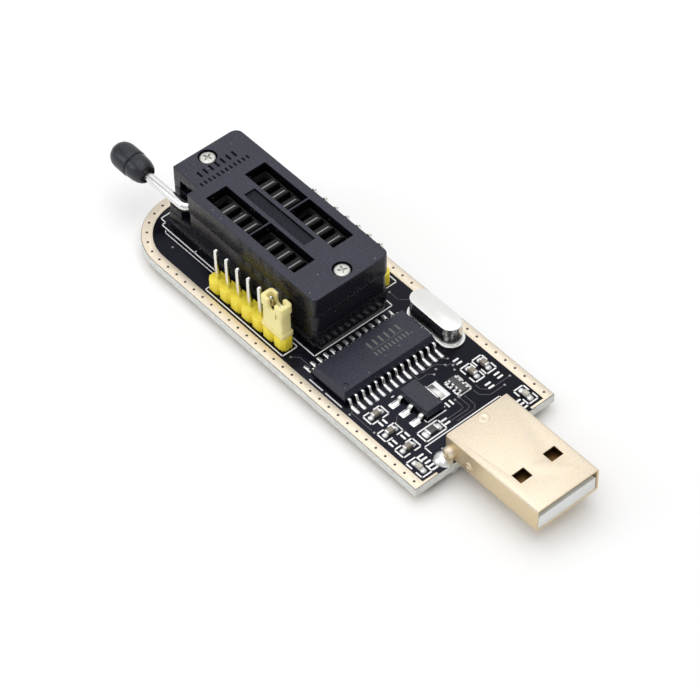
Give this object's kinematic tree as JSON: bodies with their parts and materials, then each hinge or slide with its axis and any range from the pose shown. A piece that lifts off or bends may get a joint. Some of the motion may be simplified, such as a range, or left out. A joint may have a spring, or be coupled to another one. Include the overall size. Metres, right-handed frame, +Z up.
{
  "type": "usb microcontroller programmer",
  "caption": "Bare-board USB stick programmer with a lever-operated zero-insertion-force socket, pin headers, a jumper and a USB-A plug.",
  "frame": {"origin": "centre of the footprint, on the surface that the pin tails under the board stand on", "axes": "+X from the lever towards the USB plug's mouth, +Y across the board towards the far header, +Z up out of the board's top face"},
  "size_m": [0.095, 0.0274, 0.0144],
  "materials": {
    "board_mask": "black solder mask on glass fibre",
    "border_gilt": "thin gilt copper",
    "plug_gold": "satin gilt sheet steel",
    "white_plastic": "satin",
    "solder": "bright tin solder",
    "socket_black": "fine matt moulding",
    "screw_steel": "plated steel",
    "contact_metal": "tin plate",
    "rod_steel": "bright drawn wire",
    "knob_black": "satin moulding",
    "header_yellow": "satin nylon",
    "jumper_yellow": "satin nylon",
    "chip_black": "moulded epoxy",
    "crystal_metal": "bright nickel silver",
    "capacitor_brown": "ceramic",
    "resistor_black": "glazed ceramic",
    "led_lens": "clear milky epoxy"
  },
  "bodies": {
    "board": {"circuit_board": "board_mask", "board_border": "border_gilt", "plug_shell": "plug_gold", "plug_insulator": "white_plastic", "plug_contacts": "plug_gold", "leg_solder": "solder", "socket_base": "socket_black", "socket_cover": "socket_black", "cover_screws": "screw_steel", "socket_contacts": "contact_metal", "near_header_housing": "header_yellow", "near_header_pins": "contact_metal", "far_header_housing": "header_yellow", "far_header_pins": "contact_metal", "controller_body": "chip_black", "controller_leads": "contact_metal", "crystal_base": "crystal_metal", "crystal_can": "crystal_metal", "crystal_leads": "contact_metal", "regulator_body": "chip_black", "regulator_leads": "contact_metal", "capacitor_bodies": "capacitor_brown", "capacitor_caps": "solder", "resistor_body": "resistor_black", "resistor_caps": "solder", "array_body": "resistor_black", "array_terminals": "solder", "led_bases": "white_plastic", "led_lenses": "led_lens", "led_caps": "solder", "socket_solder": "solder", "header_solder": "solder", "crystal_solder": "solder", "plug_solder": "solder"},
    "lever": {"lever_rod": "rod_steel", "lever_cams": "rod_steel", "lever_knob": "knob_black"},
    "comb": {"socket_comb": "socket_black"},
    "jumper": {"jumper_cap": "jumper_yellow", "jumper_clip": "contact_metal"}
  },
  "joints": [
    {"name": "lever_hinge", "type": "hinge", "parent": "board", "child": "lever", "pos_m": [-0.03008, 0, 0.0093], "axis": [0, 1, 0], "range_deg": [0, 90]},
    {"name": "comb_slide", "type": "slide", "parent": "board", "child": "comb", "axis": [1, 0, 0], "range_m": [0, 0.0009]},
    {"name": "jumper_lift", "type": "slide", "parent": "board", "child": "jumper", "axis": [0, 0, 1], "range_m": [0, 0.0075]}
  ],
  "couplings": [
    {"joint": "lever_hinge", "follows": "comb_slide", "rad_per_m": 1745.3}
  ]
}
